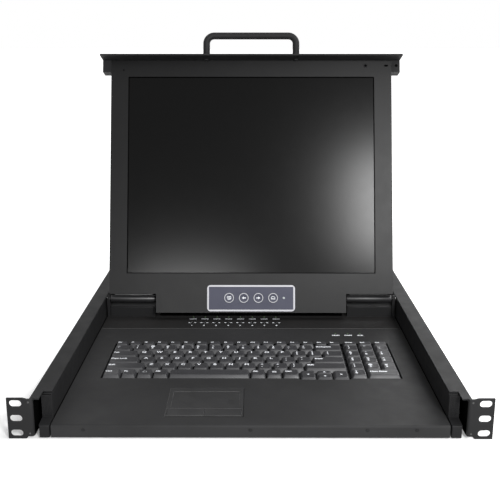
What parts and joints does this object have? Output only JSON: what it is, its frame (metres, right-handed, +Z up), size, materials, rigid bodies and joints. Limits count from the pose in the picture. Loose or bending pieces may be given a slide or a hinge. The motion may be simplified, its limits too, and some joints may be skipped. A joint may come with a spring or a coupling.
{
  "type": "rackmount lcd console drawer",
  "caption": "Rack drawer that slides out on ball slides, with keyboard and touchpad, and a flat screen that hinges up behind a handled front panel.",
  "frame": {"origin": "centre of the rack slot pattern, on the back face of the two rack ears, which is the face that meets the rack rails", "axes": "+X to the right of a person in front of the rack, +Y into the rack, +Z up"},
  "size_m": [0.4826, 0.642, 0.3957],
  "materials": {
    "black_steel": "satin",
    "zinc_steel": "satin",
    "ball_steel": "polished",
    "black_plastic": "matte",
    "key_plastic": "matte",
    "screen": "gloss",
    "display": "satin",
    "circuit_board": "satin",
    "supply_case": "satin",
    "silver_plastic": "satin",
    "panel_grey": "satin",
    "button_plastic": "satin",
    "green_light": "gloss",
    "video_blue": "matte"
  },
  "bodies": {
    "chassis": {"chassis_channel": "black_steel", "rack_ear_left": "black_steel", "rack_ear_right": "black_steel", "slide_outer_left": "zinc_steel", "slide_outer_right": "zinc_steel"},
    "middle_members": {"slide_middle_left": "zinc_steel", "slide_middle_right": "zinc_steel"},
    "outer_cages": {"outer_ball_cages": "ball_steel"},
    "inner_cages": {"inner_ball_cages": "ball_steel"},
    "drawer": {"slide_inner_left": "zinc_steel", "slide_inner_right": "zinc_steel", "tray_floor": "black_steel", "tray_side_left": "black_steel", "tray_side_right": "black_steel", "tray_corner_left": "black_plastic", "tray_corner_right": "black_plastic", "keyboard_deck": "black_steel", "control_deck": "black_steel", "hinge_bracket_left": "black_steel", "hinge_bracket_right": "black_steel", "hinge_pins": "zinc_steel", "key_board": "black_plastic", "touchpad": "black_plastic", "console_case": "black_steel", "console_cover": "black_steel", "main_board": "circuit_board", "power_supply": "supply_case", "video_sockets": "video_blue", "power_inlet": "black_plastic"},
    "lid": {"hinge_barrels": "black_steel", "lid_cover": "black_steel", "lid_bezel": "black_steel", "screen_glass": "screen", "display_unit": "display", "screen_driver_board": "circuit_board", "panel_frame": "silver_plastic", "panel_plate": "panel_grey", "power_light": "green_light", "front_panel": "black_steel", "panel_block_left": "black_plastic", "panel_block_right": "black_plastic", "handle": "black_steel"},
    "rocker": {"power_rocker": "black_plastic"},
    "function_row_keys": {"function_row_keys": "key_plastic"},
    "number_row_keys": {"number_row_keys": "key_plastic"},
    "tab_row_keys": {"tab_row_keys": "key_plastic"},
    "home_row_keys": {"home_row_keys": "key_plastic"},
    "shift_row_keys": {"shift_row_keys": "key_plastic"},
    "bottom_row_keys": {"bottom_row_keys": "key_plastic"},
    "space_bar": {"space_bar": "key_plastic"},
    "number_pad_keys": {"number_pad_keys": "key_plastic"},
    "touch_button_left": {"touch_button_left": "black_plastic"},
    "touch_button_right": {"touch_button_right": "black_plastic"},
    "panel_button_1": {"panel_button_1": "button_plastic"},
    "panel_button_2": {"panel_button_2": "button_plastic"},
    "panel_button_3": {"panel_button_3": "button_plastic"},
    "panel_button_4": {"panel_button_4": "button_plastic"}
  },
  "joints": [
    {"name": "drawer_slide", "type": "slide", "parent": "chassis", "child": "drawer", "axis": [0, -1, 0], "range_m": [0, 0.4]},
    {"name": "middle_slide", "type": "slide", "parent": "chassis", "child": "middle_members", "axis": [0, -1, 0], "range_m": [0, 0.2]},
    {"name": "outer_cage_roll", "type": "slide", "parent": "chassis", "child": "outer_cages", "axis": [0, -1, 0], "range_m": [0, 0.1]},
    {"name": "inner_cage_roll", "type": "slide", "parent": "chassis", "child": "inner_cages", "axis": [0, -1, 0], "range_m": [0, 0.3]},
    {"name": "lid_hinge", "type": "hinge", "parent": "drawer", "child": "lid", "pos_m": [0, 0.3275, 0.01758], "axis": [1, 0, 0], "range_deg": [-10, 107.55]},
    {"name": "power_rocker_tip", "type": "hinge", "parent": "drawer", "child": "rocker", "pos_m": [0.1356, 0.6, 0.00017], "axis": [0, 0, 1], "range_deg": [-16, 0]},
    {"name": "function_row_keys_press", "type": "slide", "parent": "drawer", "child": "function_row_keys", "axis": [0, 0, -1], "range_m": [0, 0.002], "stiffness_N_per_m": 1000, "springref_m": -0.001},
    {"name": "number_row_keys_press", "type": "slide", "parent": "drawer", "child": "number_row_keys", "axis": [0, 0, -1], "range_m": [0, 0.002], "stiffness_N_per_m": 1000, "springref_m": -0.001},
    {"name": "tab_row_keys_press", "type": "slide", "parent": "drawer", "child": "tab_row_keys", "axis": [0, 0, -1], "range_m": [0, 0.002], "stiffness_N_per_m": 1000, "springref_m": -0.001},
    {"name": "home_row_keys_press", "type": "slide", "parent": "drawer", "child": "home_row_keys", "axis": [0, 0, -1], "range_m": [0, 0.002], "stiffness_N_per_m": 1000, "springref_m": -0.001},
    {"name": "shift_row_keys_press", "type": "slide", "parent": "drawer", "child": "shift_row_keys", "axis": [0, 0, -1], "range_m": [0, 0.002], "stiffness_N_per_m": 1000, "springref_m": -0.001},
    {"name": "bottom_row_keys_press", "type": "slide", "parent": "drawer", "child": "bottom_row_keys", "axis": [0, 0, -1], "range_m": [0, 0.002], "stiffness_N_per_m": 1000, "springref_m": -0.001},
    {"name": "space_bar_press", "type": "slide", "parent": "drawer", "child": "space_bar", "axis": [0, 0, -1], "range_m": [0, 0.002], "stiffness_N_per_m": 1000, "springref_m": -0.001},
    {"name": "number_pad_keys_press", "type": "slide", "parent": "drawer", "child": "number_pad_keys", "axis": [0, 0, -1], "range_m": [0, 0.002], "stiffness_N_per_m": 1000, "springref_m": -0.001},
    {"name": "touch_button_left_press", "type": "slide", "parent": "drawer", "child": "touch_button_left", "axis": [0, 0, -1], "range_m": [0, 0.0008], "stiffness_N_per_m": 1500, "springref_m": -0.0004},
    {"name": "touch_button_right_press", "type": "slide", "parent": "drawer", "child": "touch_button_right", "axis": [0, 0, -1], "range_m": [0, 0.0008], "stiffness_N_per_m": 1500, "springref_m": -0.0004},
    {"name": "panel_button_1_press", "type": "slide", "parent": "lid", "child": "panel_button_1", "axis": [0, 0.9535, -0.3015], "range_m": [0, 0.0005], "stiffness_N_per_m": 2500, "springref_m": -0.0002},
    {"name": "panel_button_2_press", "type": "slide", "parent": "lid", "child": "panel_button_2", "axis": [0, 0.9535, -0.3015], "range_m": [0, 0.0005], "stiffness_N_per_m": 2500, "springref_m": -0.0002},
    {"name": "panel_button_3_press", "type": "slide", "parent": "lid", "child": "panel_button_3", "axis": [0, 0.9535, -0.3015], "range_m": [0, 0.0005], "stiffness_N_per_m": 2500, "springref_m": -0.0002},
    {"name": "panel_button_4_press", "type": "slide", "parent": "lid", "child": "panel_button_4", "axis": [0, 0.9535, -0.3015], "range_m": [0, 0.0005], "stiffness_N_per_m": 2500, "springref_m": -0.0002}
  ],
  "couplings": [
    {"joint": "middle_slide", "follows": "drawer_slide", "ratio": 0.5},
    {"joint": "outer_cage_roll", "follows": "drawer_slide", "ratio": 0.25},
    {"joint": "inner_cage_roll", "follows": "drawer_slide", "ratio": 0.75}
  ]
}
